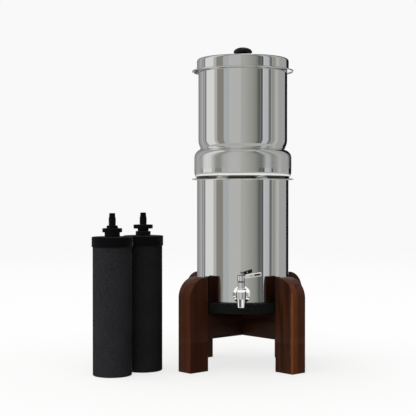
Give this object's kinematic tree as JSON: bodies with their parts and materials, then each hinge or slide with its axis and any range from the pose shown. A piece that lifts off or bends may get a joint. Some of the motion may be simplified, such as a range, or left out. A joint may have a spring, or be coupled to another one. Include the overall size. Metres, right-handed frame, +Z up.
{
  "type": "gravity water filter",
  "caption": "Countertop gravity water filter: two nested polished steel chambers with a lid and a lever tap on a wooden cross stand, with filter elements stood beside it.",
  "frame": {"origin": "on the floor, in the middle of the footprint of the whole set: stand, tap and the two filter elements beside it", "axes": "+Z up along the tank's axis, the tap faces -Y, and the filter elements stand on the -X side"},
  "size_m": [0.3524, 0.2614, 0.554],
  "materials": {
    "walnut": "oiled",
    "rubber": "matte",
    "polished_steel": "mirror polished",
    "chrome": "polished",
    "black_plastic": "satin",
    "carbon": "rough",
    "ptfe": "smooth"
  },
  "bodies": {
    "stand": {"leg_front_left": "walnut", "leg_front_right": "walnut", "leg_back_left": "walnut", "leg_back_right": "walnut", "cross_rail_under": "walnut", "cross_rail_over": "walnut", "rail_dowels": "walnut"},
    "tank": {"base_ring": "rubber", "lower_chamber": "polished_steel", "tap_escutcheon": "chrome", "tap_outer_washer": "rubber", "tap_body": "chrome", "tap_inner_washer": "rubber", "tap_lock_nut": "chrome", "tap_bonnet": "chrome", "tap_packing": "ptfe"},
    "tap_handle": {"tap_plug": "chrome", "tap_lever": "chrome", "tap_lever_screw": "chrome"},
    "upper_tank": {"upper_chamber": "polished_steel"},
    "lid_assembly": {"lid": "polished_steel", "lid_knob": "black_plastic", "knob_screw": "polished_steel", "knob_washer": "polished_steel"},
    "front_element": {"front_carbon_block": "carbon", "front_end_cap": "black_plastic", "front_seal_washer": "rubber"},
    "front_nut": {"front_hand_nut": "black_plastic"},
    "rear_element": {"rear_carbon_block": "carbon", "rear_end_cap": "black_plastic", "rear_seal_washer": "rubber"},
    "rear_nut": {"rear_hand_nut": "black_plastic"}
  },
  "joints": [
    {"name": "tank_lift", "type": "slide", "parent": "stand", "child": "tank", "axis": [0, 0, 1], "range_m": [0, 0.15]},
    {"name": "upper_chamber_lift", "type": "slide", "parent": "tank", "child": "upper_tank", "axis": [0, 0, 1], "range_m": [0, 0.06]},
    {"name": "lid_lift", "type": "slide", "parent": "upper_tank", "child": "lid_assembly", "axis": [0, 0, 1], "range_m": [0, 0.04]},
    {"name": "tap_lever_turn", "type": "hinge", "parent": "tank", "child": "tap_handle", "pos_m": [0.06995, -0.09059, 0.13], "axis": [0, 0, 1], "range_deg": [-90, 0]},
    {"name": "front_element_lift", "type": "slide", "parent": "stand", "child": "front_element", "axis": [0, 0, 1], "range_m": [0, 0.1]},
    {"name": "front_nut_off", "type": "slide", "parent": "front_element", "child": "front_nut", "axis": [0, 0, 1], "range_m": [0, 0.035]},
    {"name": "rear_element_lift", "type": "slide", "parent": "stand", "child": "rear_element", "axis": [0, 0, 1], "range_m": [0, 0.1]},
    {"name": "rear_nut_off", "type": "slide", "parent": "rear_element", "child": "rear_nut", "axis": [0, 0, 1], "range_m": [0, 0.035]}
  ]
}
